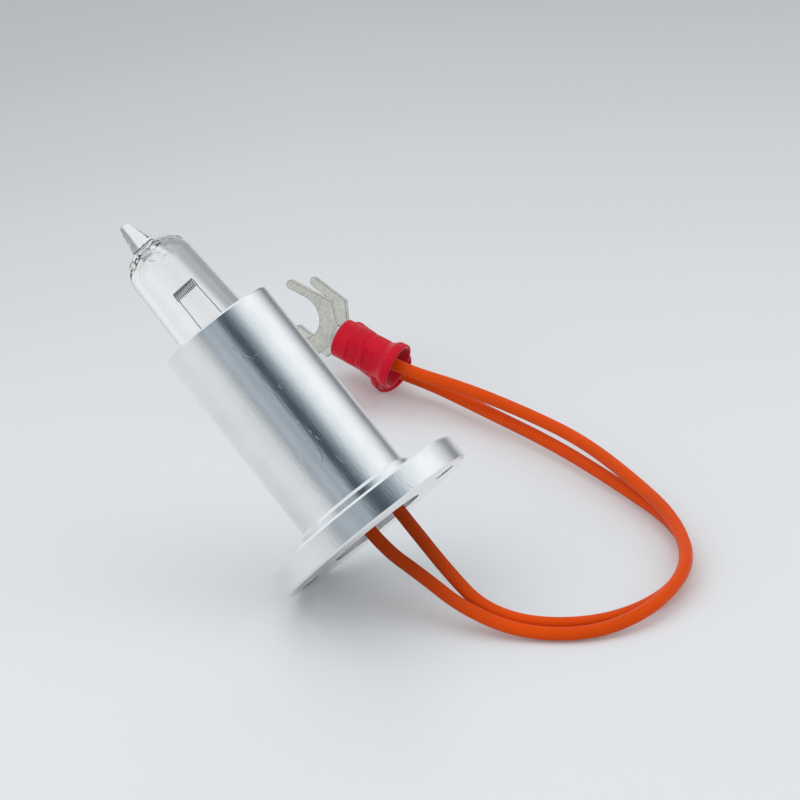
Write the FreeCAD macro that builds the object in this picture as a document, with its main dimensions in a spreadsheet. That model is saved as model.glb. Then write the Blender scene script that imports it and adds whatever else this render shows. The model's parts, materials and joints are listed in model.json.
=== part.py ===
import FreeCAD, Part
import math
import os

# Analyzer halogen lamp: a quartz capsule cemented in a turned aluminium flange housing,
# with two insulated leads that end in sleeved fork terminals. Millimetres.
# The lamp lies as it comes to rest on a bench: on the rim of its flange and on its leads.
# The bench is the plane z = 0. The lamp's own axis is built along each piece's local Z.

V = FreeCAD.Vector
os.makedirs("parts", exist_ok=True)
doc = FreeCAD.newDocument("analyzer_halogen_lamp")

# Sizes
sheet = doc.addObject("Spreadsheet::Sheet", "Sizes")
sizes = [
    # housing, measured along the lamp's axis from the back face of the flange
    ("flange_dia", 28.0),
    ("flange_thick", 3.5),
    ("collar_height", 1.4),
    ("barrel_dia", 15.4),
    ("collar_step", 0.55),
    ("housing_length", 32.0),
    ("bore_dia", 11.0),
    ("rear_bore_dia", 13.0),
    ("rear_bore_depth", 4.0),
    ("flange_edge", 0.3),
    ("collar_edge", 0.4),
    ("rim_edge", 0.25),
    ("screw_hole_dia", 2.7),
    ("screw_circle_dia", 22.0),
    ("screw_count", 2),
    # potting and cement
    ("potting_recess", 1.0),
    ("lead_seat", 3.0),
    ("cement_top", 27.4),
    # quartz capsule
    ("capsule_root_dia", 9.74),
    ("capsule_neck_dia", 8.88),
    ("capsule_root", 31.0),
    ("capsule_length", 10.8),
    ("dome_height", 3.6),
    ("root_cap_height", 3.0),
    ("glass_wall", 1.0),
    ("pinch_width", 8.4),
    ("pinch_thick", 2.8),
    ("pinch_foot", 19.0),
    ("pinch_top", 29.6),
    ("tip_sink", 0.6),
    ("tip_root_dia", 3.1),
    ("tip_end_dia", 1.4),
    ("tip_length", 3.7),
    # filament and its inner leads
    ("coil_wire_dia", 0.13),
    ("coil_mean_dia", 1.08),
    ("coil_pitch", 0.205),
    ("coil_length", 3.075),
    ("coil_below_shoulder", 3.92),
    ("inner_lead_dia", 0.2),
    ("inner_lead_foot", 28.6),
    # leads
    ("lead_dia", 1.7),
    ("lead_hole_clear", 0.05),
    # fork terminals and sleeves, measured from the sleeve's mouth
    ("sleeve_length", 9.25),
    ("sleeve_mouth_dia", 6.5),
    ("sleeve_body_dia", 5.4),
    ("sleeve_waist_dia", 5.25),
    ("sleeve_lip", 0.35),
    ("crimp_flat", 4.5),
    ("insulation_stop", 4.2),
    ("barrel_tube_dia", 3.3),
    ("conductor_dia", 1.1),
    ("conductor_depth", 4.6),
    ("fork_width", 9.0),
    ("tine_width", 1.3),
    ("fork_shoulder", 11.82),
    ("slot_floor", 12.58),
    ("fork_length", 18.8),
    ("neck_width", 4.3),
    ("plate_thick", 0.5),
]
for row, (alias, value) in enumerate(sizes, start=1):
    sheet.set("A%d" % row, alias)
    sheet.set("B%d" % row, str(value))
    sheet.setAlias("B%d" % row, alias)
doc.recompute()


def size(alias):
    return float(sheet.get(alias))


def ref(expression):
    """Write an expression with the sheet's name before each alias."""
    words = expression.replace("(", " ( ").replace(")", " ) ").split()
    known = [alias for alias, value in sizes]
    return " ".join("Sizes." + word if word in known else word for word in words)


# Where things lie
LAMP_LEAN = 47.61
LAMP_HEADING = 147.48
LAMP_SPIN = 220.0
SCREW_TURN = -13.0
CAPSULE_SHIFT = 0.415
CAPSULE_LEAN = -1.4
LAMP_FOOT_Y = 0.435

lean = math.radians(LAMP_LEAN)
edge = size("flange_edge")
reach = size("flange_dia") / 2.0
back_height = max((reach - edge) * math.sin(lean), reach * math.sin(lean) - edge * math.cos(lean))

# centre of the lamp's bounding box on the bench, taken as the origin
ORIGIN_X = -10.562
ORIGIN_Y = 4.446


def turn(axis, degrees):
    return FreeCAD.Rotation(axis, degrees)


def row_point(x, y, z):
    return V(x - ORIGIN_X, y - ORIGIN_Y, z)


lamp_rotation = turn(V(0, 0, 1), LAMP_HEADING) * turn(V(0, 1, 0), LAMP_LEAN) * turn(V(0, 0, 1), LAMP_SPIN)
lamp = FreeCAD.Placement(row_point(0, LAMP_FOOT_Y, back_height), lamp_rotation)
housing_place = lamp * FreeCAD.Placement(V(0, 0, 0), turn(V(0, 0, 1), SCREW_TURN))
capsule_place = lamp * FreeCAD.Placement(V(CAPSULE_SHIFT, 0, 0), turn(V(0, 1, 0), CAPSULE_LEAN))


def terminal_place(mouth, heading, rise, roll):
    """Local Z runs from the sleeve's mouth to the fork, local X across the fork."""
    rotation = turn(V(0, 0, 1), heading) * turn(V(0, 1, 0), 90.0 - rise) * turn(V(0, 0, 1), 180.0 - roll)
    return FreeCAD.Placement(mouth, rotation)


terminal_a = terminal_place(row_point(2.55, 56.34, 6.255), 151.7, 16.2, 0.0)
terminal_b = terminal_place(row_point(1.97, 61.60, 3.14), 132.6, 13.0, -10.0)

nodes = []


# Sketch helpers
def plane(body, role):
    for feature in body.Origin.OriginFeatures:
        if feature.Role == role:
            return feature
    raise ValueError(role)


def new_body(name, place):
    body = doc.addObject("PartDesign::Body", name)
    body.Label = name
    body.Placement = place
    nodes.append(body)
    return body


def new_sketch(body, name, role, offset=None):
    sketch = body.newObject("Sketcher::SketchObject", name)
    sketch.AttachmentSupport = [(plane(body, role), "")]
    sketch.MapMode = "FlatFace"
    if offset is not None:
        sketch.setExpression("AttachmentOffset.Base.z", ref(offset))
    return sketch


def tie(sketch, index, name, expression):
    sketch.renameConstraint(index, name)
    sketch.setExpression("Constraints." + name, ref(expression))


def evaluate(expression):
    values = {alias: size(alias) for alias, value in sizes}
    total = 0.0
    sign = 1.0
    factor = None
    words = expression.split()
    term = None
    operator = "+"
    for word in words:
        if word in ("+", "-", "*", "/"):
            operator = word
            continue
        number = values[word] if word in values else float(word)
        if operator == "*":
            term = term * number
        elif operator == "/":
            term = term / number
        else:
            if term is not None:
                total += term
            term = number if operator == "+" else -number
    return total + term


def profile(sketch, corners):
    """Closed outline through corners given as pairs of size expressions, all at x >= 0."""
    points = [V(evaluate(x), evaluate(y), 0) for x, y in corners]
    count = len(points)
    for i in range(count):
        sketch.addGeometry(Part.LineSegment(points[i], points[(i + 1) % count]), False)
    for i in range(count):
        sketch.addConstraint(Sketcher_constraint("Coincident", i, 2, (i + 1) % count, 1))
    for i, (x, y) in enumerate(corners):
        for kind, expression, axis_geometry, value in (
            ("DistanceX", x, -2, points[i].x),
            ("DistanceY", y, -1, points[i].y),
        ):
            if abs(value) < 1e-9:
                sketch.addConstraint(Sketcher_constraint("PointOnObject", i, 1, axis_geometry))
            else:
                index = sketch.addConstraint(Sketcher_constraint(kind, -1, 1, i, 1, value))
                tie(sketch, index, "p%d%s" % (i, kind[-1].lower()), expression)


def mirrored_profile(sketch, corners):
    """Outline through right-hand corners and their mirror images about the sketch's Y axis."""
    right = [V(evaluate(x), evaluate(y), 0) for x, y in corners]
    left = [V(-p.x, p.y, 0) for p in reversed(right)]
    points = right + left
    count = len(points)
    for i in range(count):
        sketch.addGeometry(Part.LineSegment(points[i], points[(i + 1) % count]), False)
    for i in range(count):
        sketch.addConstraint(Sketcher_constraint("Coincident", i, 2, (i + 1) % count, 1))
    for i, (x, y) in enumerate(corners):
        index = sketch.addConstraint(Sketcher_constraint("DistanceX", -1, 1, i, 1, right[i].x))
        tie(sketch, index, "p%dx" % i, x)
        index = sketch.addConstraint(Sketcher_constraint("DistanceY", -1, 1, i, 1, right[i].y))
        tie(sketch, index, "p%dy" % i, y)
        sketch.addConstraint(Sketcher_constraint("Symmetric", i, 1, count - 1 - i, 1, -2))


def circle(sketch, diameter, along=None, up=None, tag="c"):
    """Circle of a sheet diameter, its centre on an axis or at the origin."""
    x = evaluate(along) if along else 0.0
    y = evaluate(up) if up else 0.0
    item = sketch.addGeometry(Part.Circle(V(x, y, 0), V(0, 0, 1), evaluate(diameter) / 2.0), False)
    index = sketch.addConstraint(Sketcher_constraint("Diameter", item, evaluate(diameter)))
    tie(sketch, index, tag + "_dia", diameter)
    for kind, expression, value, axis_geometry in (
        ("DistanceX", along, x, -2),
        ("DistanceY", up, y, -1),
    ):
        if expression is None:
            sketch.addConstraint(Sketcher_constraint("PointOnObject", item, 3, axis_geometry))
        else:
            index = sketch.addConstraint(Sketcher_constraint(kind, -1, 1, item, 3, value))
            tie(sketch, index, tag + "_" + kind[-1].lower(), expression)


def Sketcher_constraint(*arguments):
    import Sketcher
    return Sketcher.Constraint(*arguments)


def revolve(body, sketch, name, kind="PartDesign::Revolution"):
    feature = body.newObject(kind, name)
    feature.Profile = sketch
    feature.ReferenceAxis = (sketch, ["V_Axis"])
    feature.Angle = 360.0
    sketch.Visibility = False
    doc.recompute()
    return feature


def pad(body, sketch, name, length, both_sides=False, reversed_way=False):
    feature = body.newObject("PartDesign::Pad", name)
    feature.Profile = sketch
    feature.setExpression("Length", ref(length))
    if both_sides:
        feature.SideType = "Symmetric"
    feature.Reversed = reversed_way
    sketch.Visibility = False
    doc.recompute()
    return feature


def pocket(body, sketch, name, length=None, both_sides=False, reversed_way=False):
    feature = body.newObject("PartDesign::Pocket", name)
    feature.Profile = sketch
    if length is None:
        feature.Type = "ThroughAll"
    else:
        feature.setExpression("Length", ref(length))
    if both_sides:
        feature.SideType = "Symmetric"
    feature.Reversed = reversed_way
    sketch.Visibility = False
    before = body.Shape.Volume
    doc.recompute()
    if body.Shape.Volume > before - 1e-6:
        feature.Reversed = not reversed_way
        doc.recompute()
    assert body.Shape.Volume < before - 1e-6, name
    return feature


def break_edges(body, base, name, kind, alias, choose):
    picked = []
    for number, item in enumerate(base.Shape.Edges, start=1):
        if choose(item):
            picked.append("Edge%d" % number)
    assert picked, name
    feature = body.newObject(kind, name)
    feature.Base = (base, picked)
    if kind == "PartDesign::Chamfer":
        feature.setExpression("Size", ref(alias))
    else:
        feature.setExpression("Radius", ref(alias))
    doc.recompute()
    return feature


def ring(radius, level):
    """Chooser for the full circular edge of a radius at a level along local Z."""
    def choose(item):
        curve = item.Curve
        if not isinstance(curve, Part.Circle):
            return False
        return abs(curve.Radius - radius) < 1e-4 and abs(curve.Center.z - level) < 1e-4
    return choose


# Housing: flange, collar and barrel turned from one bar, bored through
housing = new_body("housing", housing_place)
outline = new_sketch(housing, "housing_outline", "XZ_Plane")
profile(outline, [
    ("rear_bore_dia / 2", "0"),
    ("flange_dia / 2", "0"),
    ("flange_dia / 2", "flange_thick"),
    ("barrel_dia / 2 + collar_step", "flange_thick"),
    ("barrel_dia / 2 + collar_step", "flange_thick + collar_height"),
    ("barrel_dia / 2", "flange_thick + collar_height"),
    ("barrel_dia / 2", "housing_length"),
    ("bore_dia / 2", "housing_length"),
    ("bore_dia / 2", "rear_bore_depth"),
    ("rear_bore_dia / 2", "rear_bore_depth"),
])
turned = revolve(housing, outline, "housing_turned")
step = break_edges(housing, turned, "flange_front_edge", "PartDesign::Chamfer", "flange_edge",
                   ring(size("flange_dia") / 2, size("flange_thick")))
step = break_edges(housing, step, "flange_back_edge", "PartDesign::Chamfer", "flange_edge",
                   ring(size("flange_dia") / 2, 0.0))
step = break_edges(housing, step, "collar_chamfer", "PartDesign::Chamfer", "collar_edge",
                   ring(size("barrel_dia") / 2 + size("collar_step"), size("flange_thick") + size("collar_height")))
step = break_edges(housing, step, "rim_rounding", "PartDesign::Fillet", "rim_edge",
                   ring(size("barrel_dia") / 2, size("housing_length")))
step = break_edges(housing, step, "rim_inner_chamfer", "PartDesign::Chamfer", "rim_edge",
                   ring(size("bore_dia") / 2, size("housing_length")))
drill = new_sketch(housing, "screw_hole_outline", "XY_Plane")
circle(drill, "screw_hole_dia", along="screw_circle_dia / 2")
screw_hole = pocket(housing, drill, "screw_hole", "flange_thick * 1.5", reversed_way=True)
screws = housing.newObject("PartDesign::PolarPattern", "screw_holes")
screws.Originals = [screw_hole]
screws.Axis = (drill, ["N_Axis"])
screws.Angle = 360.0
screws.setExpression("Occurrences", ref("screw_count"))
housing.Tip = screws
doc.recompute()

# Rear potting: pale disc of set compound in the rear counterbore, with a blind hole for each lead
LEAD_A_ACROSS = -1.0
LEAD_B_ACROSS = 3.4
potting = new_body("rear_potting", lamp)
disc = new_sketch(potting, "potting_outline", "XY_Plane", "potting_recess")
circle(disc, "rear_bore_dia")
pad(potting, disc, "potting_disc", "rear_bore_depth - potting_recess")
holes = new_sketch(potting, "lead_holes_outline", "XY_Plane", "potting_recess")
for tag, across in (("a", LEAD_A_ACROSS), ("b", LEAD_B_ACROSS)):
    radius = (size("lead_dia") + size("lead_hole_clear")) / 2.0
    item = holes.addGeometry(Part.Circle(V(across, 0, 0), V(0, 0, 1), radius), False)
    index = holes.addConstraint(Sketcher_constraint("Diameter", item, 2 * radius))
    tie(holes, index, "dia_" + tag, "lead_dia + lead_hole_clear")
    holes.addConstraint(Sketcher_constraint("PointOnObject", item, 3, -1))
    holes.addConstraint(Sketcher_constraint("DistanceX", -1, 1, item, 3, across))
pocket(potting, holes, "lead_holes", "lead_seat - potting_recess", reversed_way=True)


# Part primitives for the quartz capsule and the cement round its pinch seal
def primitive(kind, name, **bound):
    item = doc.addObject(kind, name)
    for key, expression in bound.items():
        item.setExpression(key, ref(expression))
    item.Visibility = False
    return item


def lift(item, expression, x="0", y="0"):
    item.setExpression("Placement.Base.x", ref(x))
    item.setExpression("Placement.Base.y", ref(y))
    item.setExpression("Placement.Base.z", ref(expression))
    return item


def pinch_block(name):
    item = primitive("Part::Box", name, Length="pinch_width", Width="pinch_thick",
                     Height="pinch_top - pinch_foot")
    return lift(item, "pinch_foot", "0 - pinch_width / 2", "0 - pinch_thick / 2")


def fuse(name, items):
    item = doc.addObject("Part::MultiFuse", name)
    item.Shapes = items
    item.Visibility = False
    return item


def cut(name, base, tool, place):
    item = doc.addObject("Part::Cut", name)
    item.Label = name
    item.Base = base
    item.Tool = tool
    item.Placement = place
    nodes.append(item)
    return item


wall = lift(primitive("Part::Cone", "capsule_wall", Radius1="capsule_root_dia / 2",
                      Radius2="capsule_neck_dia / 2", Height="capsule_length"),
            "capsule_root")
dome = lift(primitive("Part::Ellipsoid", "capsule_dome", Radius1="dome_height",
                      Radius2="capsule_neck_dia / 2", Radius3="capsule_neck_dia / 2"),
            "capsule_root + capsule_length")
root_cap = lift(primitive("Part::Ellipsoid", "capsule_root_cap", Radius1="root_cap_height",
                          Radius2="capsule_root_dia / 2", Radius3="capsule_root_dia / 2"),
                "capsule_root")
shoulder = size("capsule_root") + size("capsule_length")
TIP_ACROSS = -0.3
TIP_LEAN = -3.4
TIP_BASE = V(TIP_ACROSS, 0, shoulder + size("dome_height") - size("tip_sink"))
tip_turn = turn(V(0, 1, 0), TIP_LEAN)
tip = primitive("Part::Cone", "exhaust_tip", Radius1="tip_root_dia / 2", Radius2="tip_end_dia / 2",
                Height="tip_length")
tip.Placement = FreeCAD.Placement(TIP_BASE, tip_turn)
bead = primitive("Part::Sphere", "exhaust_tip_bead", Radius="tip_end_dia / 2")
bead.Placement = FreeCAD.Placement(TIP_BASE + tip_turn.multVec(V(0, 0, size("tip_length"))), tip_turn)
glass = fuse("capsule_glass", [wall, dome, root_cap, pinch_block("capsule_pinch"), tip, bead])

inner_wall = lift(primitive("Part::Cone", "cavity_wall",
                            Radius1="capsule_root_dia / 2 - glass_wall",
                            Radius2="capsule_neck_dia / 2 - glass_wall",
                            Height="capsule_length"), "capsule_root")
inner_dome = lift(primitive("Part::Ellipsoid", "cavity_dome", Radius1="dome_height - glass_wall",
                            Radius2="capsule_neck_dia / 2 - glass_wall",
                            Radius3="capsule_neck_dia / 2 - glass_wall"), "capsule_root + capsule_length")
inner_root = lift(primitive("Part::Ellipsoid", "cavity_root",
                            Radius1="root_cap_height - glass_wall * 1.4",
                            Radius2="capsule_root_dia / 2 - glass_wall",
                            Radius3="capsule_root_dia / 2 - glass_wall"), "capsule_root")

# The coil lies across the capsule on its two inner leads, which end against its underside
COIL_ACROSS = 0.26
COIL_RISE = 8.8
COIL_CENTRE = V(COIL_ACROSS, 0, shoulder - size("coil_below_shoulder"))
coil_slope = math.radians(COIL_RISE)
coil_reach = size("coil_length") / 2 * math.cos(coil_slope)
INNER_LEAD_A = COIL_ACROSS - coil_reach + 0.01
INNER_LEAD_B = COIL_ACROSS + coil_reach + 0.10


def coil_underside(across):
    """Height at which the coil's underside stands over a place across the capsule."""
    thickness = (size("coil_mean_dia") + size("coil_wire_dia")) / 2
    return COIL_CENTRE.z + (across - COIL_ACROSS) * math.tan(coil_slope) - thickness / math.cos(coil_slope)


INNER_LEAD_A_TOP = coil_underside(INNER_LEAD_A)
INNER_LEAD_B_TOP = coil_underside(INNER_LEAD_B)


def inner_lead(name, across, top):
    item = doc.addObject("Part::Cylinder", name)
    item.Label = name
    item.setExpression("Radius", ref("inner_lead_dia / 2"))
    item.setExpression("Height", "%s - %s" % (top, ref("inner_lead_foot")))
    item.Placement = FreeCAD.Placement(V(across, 0, size("inner_lead_foot")), FreeCAD.Rotation())
    item.Visibility = False
    return item


cavity = fuse("capsule_cavity", [inner_wall, inner_dome, inner_root,
                                 inner_lead("lead_a_passage", INNER_LEAD_A, INNER_LEAD_A_TOP),
                                 inner_lead("lead_b_passage", INNER_LEAD_B, INNER_LEAD_B_TOP)])
bulb = cut("bulb_envelope", glass, cavity, capsule_place)

for name, across, top in (("filament_lead_a", INNER_LEAD_A, INNER_LEAD_A_TOP),
                          ("filament_lead_b", INNER_LEAD_B, INNER_LEAD_B_TOP)):
    rod = inner_lead(name, across, top)
    rod.Placement = capsule_place * rod.Placement
    nodes.append(rod)

# Filament: one close-wound coil lying across the capsule, its fine wire drawn six-sided
coil_line = doc.addObject("Part::Helix", "coil_line")
coil_line.setExpression("Pitch", ref("coil_pitch"))
coil_line.setExpression("Height", ref("coil_length"))
coil_line.setExpression("Radius", ref("coil_mean_dia / 2"))
coil_line.Visibility = False
coil_section = doc.addObject("Part::RegularPolygon", "coil_section")
coil_section.Polygon = 6
coil_section.setExpression("Circumradius", ref("coil_wire_dia / 2"))
coil_section.Placement = FreeCAD.Placement(V(size("coil_mean_dia") / 2, 0, 0), turn(V(1, 0, 0), 90.0))
coil_section.setExpression("Placement.Base.x", ref("coil_mean_dia / 2"))
coil_section.Visibility = False
filament = doc.addObject("Part::Sweep", "filament")
filament.Label = "filament"
filament.Sections = [coil_section]
filament.Spine = (coil_line, [])
filament.Solid = True
filament.Frenet = True
coil_turn = turn(V(0, 1, 0), 90.0 - COIL_RISE)
coil_start = COIL_CENTRE - coil_turn.multVec(V(0, 0, size("coil_length") / 2))
filament.Placement = capsule_place * FreeCAD.Placement(coil_start, coil_turn)
nodes.append(filament)

# Cement plug: fills the bore round the pinch seal, open to a flat top below the rim
plug = lift(primitive("Part::Cylinder", "cement_cylinder", Radius="bore_dia / 2",
                      Height="cement_top - rear_bore_depth"), "rear_bore_depth")
seat = pinch_block("cement_seat")
seat.setExpression("Placement.Base.x", None)
seat.setExpression("Placement.Base.y", None)
seat.setExpression("Placement.Base.z", None)
seat_corner = V(-size("pinch_width") / 2, -size("pinch_thick") / 2, size("pinch_foot"))
seat.Placement = FreeCAD.Placement(V(CAPSULE_SHIFT, 0, 0), turn(V(0, 1, 0), CAPSULE_LEAN)) * \
    FreeCAD.Placement(seat_corner, FreeCAD.Rotation())
cement = cut("cement_plug", plug, seat, lamp)


# Leads: straight runs joined by tangent arcs
def route_wire(points):
    """Wire through corner points: straight runs and tangent arcs of 0.45 of the shorter run."""
    pieces = []
    radii = []
    here = points[0]
    for i in range(1, len(points) - 1):
        before = points[i - 1] - points[i]
        after = points[i + 1] - points[i]
        shorter = min(before.Length, after.Length)
        trim = 0.45 * shorter
        before.normalize()
        after.normalize()
        start = points[i] + before * trim
        end = points[i] + after * trim
        half_turn = (math.pi - before.getAngle(after)) / 2.0
        radius = trim / math.tan(half_turn)
        radii.append(radius)
        middle_way = before + after
        middle_way.normalize()
        middle = points[i] + middle_way * (radius / math.cos(half_turn) - radius)
        pieces.append(Part.LineSegment(here, start).toShape())
        pieces.append(Part.Arc(start, middle, end).toShape())
        here = end
    pieces.append(Part.LineSegment(here, points[-1]).toShape())
    return Part.Wire(pieces), radii


def along(place, x, y, z):
    return place.multVec(V(x, y, z))


FIRST_RUN_BELOW = -2.3
LAST_RUN_A = -0.8
LAST_RUN_B = 0.6
lead_a_route = [
    along(lamp, LEAD_A_ACROSS, 0, size("lead_seat")),
    along(lamp, LEAD_A_ACROSS, 0, FIRST_RUN_BELOW),
    row_point(5.38, -2.70, 5.23),
    row_point(10.69, -7.60, 2.97),
    row_point(17.97, -10.21, 1.01),
    row_point(26.94, -10.21, 1.05),
    row_point(34.36, -4.89, 2.08),
    row_point(38.99, 5.24, 2.69),
    row_point(37.79, 17.03, 3.04),
    row_point(32.67, 28.18, 3.37),
    row_point(26.72, 38.32, 3.87),
    row_point(20.03, 46.03, 4.02),
    row_point(11.34, 53.10, 4.70),
    along(terminal_a, 0, 0, LAST_RUN_A),
    along(terminal_a, 0, 0, size("insulation_stop")),
]
lead_b_route = [
    along(lamp, LEAD_B_ACROSS, 0, size("lead_seat")),
    along(lamp, LEAD_B_ACROSS, 0, FIRST_RUN_BELOW),
    row_point(9.04, -3.14, 5.42),
    row_point(12.93, -6.88, 2.79),
    row_point(19.27, -7.99, 1.04),
    row_point(28.33, -6.76, 0.88),
    row_point(35.81, 0.03, 0.89),
    row_point(39.18, 9.23, 0.88),
    row_point(38.34, 19.34, 0.97),
    row_point(31.53, 29.89, 1.37),
    row_point(23.49, 41.27, 1.73),
    row_point(14.81, 51.49, 1.75),
    row_point(7.14, 59.20, 2.31),
    along(terminal_b, 0, 0, LAST_RUN_B),
    along(terminal_b, 0, 0, size("insulation_stop")),
]


def lead(name, points):
    wire, radii = route_wire(points)
    path = doc.addObject("Part::Feature", name + "_path")
    path.Shape = wire
    path.Visibility = False
    section = doc.addObject("Part::Circle", name + "_section")
    section.setExpression("Radius", ref("lead_dia / 2"))
    section.Placement = FreeCAD.Placement(points[0], FreeCAD.Rotation(V(0, 0, 1), points[1] - points[0]))
    section.Visibility = False
    item = doc.addObject("Part::Sweep", name)
    item.Label = name
    item.Sections = [section]
    item.Spine = (path, [])
    item.Solid = True
    item.Frenet = False
    nodes.append(item)
    doc.recompute()
    expected = wire.Length * math.pi * (size("lead_dia") / 2) ** 2
    print(name, "length %.2f mm" % wire.Length, "bend radii", " ".join("%.1f" % r for r in radii),
          "volume %.3f against %.3f" % (item.Shape.Volume, expected))
    return wire.Length


lead("lead_a", lead_a_route)
lead("lead_b", lead_b_route)


# Fork terminals: stamped fork plate and crimp barrel in one piece
def fork_terminal(name, place):
    body = new_body(name, place)
    plate_outline = new_sketch(body, name + "_plate_outline", "XZ_Plane")
    mirrored_profile(plate_outline, [
        ("barrel_tube_dia / 2 - 0.2", "sleeve_length - 0.8"),
        ("barrel_tube_dia / 2 - 0.2", "sleeve_length + 0.05"),
        ("neck_width / 2", "sleeve_length + 1.2"),
        ("fork_width / 2", "fork_shoulder"),
        ("fork_width / 2", "fork_length"),
    ])
    pad(body, plate_outline, name + "_plate", "plate_thick", both_sides=True)
    floor = new_sketch(body, name + "_slot_floor_outline", "XZ_Plane")
    circle(floor, "fork_width - tine_width - tine_width",
           up="slot_floor + fork_width / 2 - tine_width")
    pocket(body, floor, name + "_slot_floor", both_sides=True)
    slot = new_sketch(body, name + "_slot_outline", "XZ_Plane")
    mirrored_profile(slot, [
        ("fork_width / 2 - tine_width", "slot_floor + fork_width / 2 - tine_width"),
        ("fork_width / 2 - tine_width", "fork_length + 1"),
    ])
    opened = pocket(body, slot, name + "_slot", both_sides=True)
    tip_level = size("fork_length")

    def tine_end(item):
        if item.Curve.TypeId != "Part::GeomLine" or item.Length > size("plate_thick") + 1e-4:
            return False
        level = item.CenterOfMass.z
        way = item.tangentAt(item.FirstParameter)
        return abs(level - tip_level) < 1e-4 and abs(abs(way.y) - 1.0) < 1e-6

    rounded = break_edges(body, opened, name + "_tine_ends", "PartDesign::Fillet",
                          "tine_width * 0.49", tine_end)
    tube = new_sketch(body, name + "_barrel_outline", "XY_Plane", "insulation_stop")
    circle(tube, "barrel_tube_dia")
    pad(body, tube, name + "_barrel", "sleeve_length - insulation_stop + 0.7")
    mouth = new_sketch(body, name + "_barrel_bore_outline", "XY_Plane", "insulation_stop")
    circle(mouth, "conductor_dia")
    pocket(body, mouth, name + "_barrel_bore", "conductor_depth", reversed_way=True)
    return body


def conductor_end(name, place):
    body = new_body(name, place)
    outline = new_sketch(body, name + "_outline", "XY_Plane", "insulation_stop")
    circle(outline, "conductor_dia")
    pad(body, outline, name + "_strand", "conductor_depth")
    return body


def terminal_sleeve(name, place):
    """Insulating sleeve with a flared mouth and two pressed crimp flats on each face."""
    body = new_body(name, place)
    outline = new_sketch(body, name + "_outline", "XZ_Plane")
    profile(outline, [
        ("sleeve_mouth_dia / 2 - sleeve_lip * 1.6", "0"),
        ("sleeve_mouth_dia / 2 - sleeve_lip * 0.5", "0"),
        ("sleeve_mouth_dia / 2", "sleeve_lip"),
        ("sleeve_mouth_dia / 2", "sleeve_lip * 3"),
        ("sleeve_waist_dia / 2", "sleeve_length * 0.25"),
        ("sleeve_waist_dia / 2", "sleeve_length * 0.5"),
        ("sleeve_body_dia / 2", "sleeve_length * 0.58"),
        ("sleeve_body_dia / 2", "sleeve_length - sleeve_lip * 0.6"),
        ("sleeve_body_dia / 2 - sleeve_lip * 0.6", "sleeve_length"),
        ("barrel_tube_dia / 2", "sleeve_length"),
        ("barrel_tube_dia / 2", "insulation_stop"),
    ])
    turned_sleeve = revolve(body, outline, name + "_turned")
    for tag, low, high in (("front", "sleeve_length * 0.29", "sleeve_length * 0.48"),
                           ("rear", "sleeve_length * 0.56", "sleeve_length * 0.76")):
        press = new_sketch(body, name + "_" + tag + "_crimp_outline", "YZ_Plane")
        profile(press, [
            ("crimp_flat / 2", low),
            ("crimp_flat / 2 + 3", low),
            ("crimp_flat / 2 + 3", high),
            ("crimp_flat / 2", high),
        ])
        one = pocket(body, press, name + "_" + tag + "_crimp", both_sides=True)
        both = body.newObject("PartDesign::PolarPattern", name + "_" + tag + "_crimps")
        both.Originals = [one]
        both.Axis = (press, ["V_Axis"])
        both.Angle = 360.0
        both.Occurrences = 2
        body.Tip = both
        doc.recompute()
    return body


for letter, place in (("a", terminal_a), ("b", terminal_b)):
    fork_terminal("fork_terminal_" + letter, place)
    conductor_end("conductor_end_" + letter, place)
    terminal_sleeve("terminal_sleeve_" + letter, place)

doc.recompute()

# Check and export
for item in doc.Objects:
    assert "Invalid" not in item.State and "Error" not in item.State, (item.Name, item.State)
low = None
boxes = None
for node in nodes:
    shape = node.Shape
    assert not shape.isNull() and shape.isValid(), node.Label
    assert len(shape.Solids) == 1, (node.Label, len(shape.Solids))
    shape.exportStep("parts/%s.step" % node.Label)
    box = shape.BoundBox
    if not node.Label.startswith(("lead_", "fork_", "terminal_", "conductor_")):
        boxes = box if boxes is None else boxes.united(box)
    print("%-18s volume %9.3f  z %7.3f to %7.3f" % (node.Label, shape.Volume, box.ZMin, box.ZMax))
print("lamp box x %.3f %.3f y %.3f %.3f z %.3f %.3f" % (
    boxes.XMin, boxes.XMax, boxes.YMin, boxes.YMax, boxes.ZMin, boxes.ZMax))
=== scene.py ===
import json
import math

import bpy
import numpy as np
from bpy.props import FloatProperty, FloatVectorProperty, IntProperty, PointerProperty
from mathutils import Euler, Matrix, Vector


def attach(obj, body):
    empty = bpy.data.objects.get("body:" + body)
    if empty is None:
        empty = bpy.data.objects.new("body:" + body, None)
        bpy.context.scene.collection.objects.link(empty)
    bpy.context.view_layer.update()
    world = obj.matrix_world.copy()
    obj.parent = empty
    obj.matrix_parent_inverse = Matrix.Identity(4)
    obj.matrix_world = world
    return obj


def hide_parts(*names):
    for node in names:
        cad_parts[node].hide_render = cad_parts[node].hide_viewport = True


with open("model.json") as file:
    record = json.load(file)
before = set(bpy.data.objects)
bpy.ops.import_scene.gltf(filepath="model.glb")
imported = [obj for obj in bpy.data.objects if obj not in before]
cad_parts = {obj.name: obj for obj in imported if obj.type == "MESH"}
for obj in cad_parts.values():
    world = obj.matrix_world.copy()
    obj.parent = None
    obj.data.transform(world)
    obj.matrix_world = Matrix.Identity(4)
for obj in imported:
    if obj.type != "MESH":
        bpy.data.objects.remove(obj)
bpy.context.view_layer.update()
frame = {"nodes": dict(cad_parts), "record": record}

bl_info = {
    "name": "Analyzer Halogen Lamp",
    "version": (1, 0, 0),
    "blender": (4, 5, 0),
    "location": "3D View > Sidebar > Lamp",
    "description": "Dresses the packed analyzer halogen lamp: capsule, housing, leads and fork terminals",
    "category": "Object",
}

MM = 0.001
MOUNTS = {mount["name"]: mount for mount in frame["record"]["mounts"]}


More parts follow.
